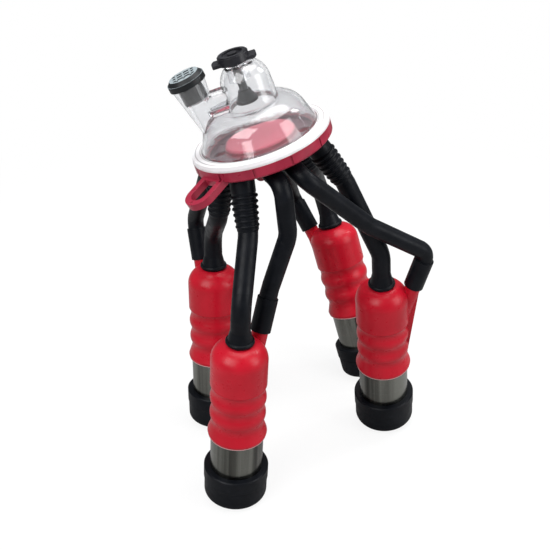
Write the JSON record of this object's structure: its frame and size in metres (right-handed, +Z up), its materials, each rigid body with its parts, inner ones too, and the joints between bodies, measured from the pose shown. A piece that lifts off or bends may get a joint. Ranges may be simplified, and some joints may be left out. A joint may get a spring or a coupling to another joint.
{
  "type": "milking cluster",
  "caption": "Milking claw with a clear bowl and teat cups on short milk and air tubes, standing mouth down on its cups, with a lifting shut-off valve.",
  "frame": {"origin": "middle of the footprint's box, on the floor the cups stand on", "axes": "+Z up, +X to the right and +Y away from the viewer as in the picture"},
  "size_m": [0.2295, 0.2773, 0.3891],
  "materials": {
    "clear": "clear moulded",
    "red": "moulded, slightly glossy",
    "black_rubber": "moulded, satin",
    "black_plastic": "moulded",
    "steel": "brushed"
  },
  "bodies": {
    "cluster": {"claw_bowl": "clear", "claw_base": "red", "bowl_gasket": "black_rubber", "air_distributor": "red", "distributor_gasket": "black_rubber", "distributor_screw": "steel", "outlet_plug": "black_rubber", "shell_fl": "steel", "shell_fr": "steel", "shell_rl": "steel", "shell_rr": "steel", "sleeve_fl": "red", "sleeve_fr": "red", "sleeve_rl": "red", "sleeve_rr": "red", "liner_fl": "black_rubber", "liner_fr": "black_rubber", "liner_rl": "black_rubber", "liner_rr": "black_rubber", "air_tube_fl": "black_rubber", "air_tube_fr": "black_rubber", "air_tube_rl": "black_rubber", "air_tube_rr": "black_rubber"},
    "valve": {"shutoff_knob": "black_plastic", "valve_stem": "black_plastic", "valve_head": "black_rubber"}
  },
  "joints": [
    {"name": "valve_lift", "type": "slide", "parent": "cluster", "child": "valve", "axis": [-0.2974, 0, 0.9548], "range_m": [0, 0.008]}
  ]
}
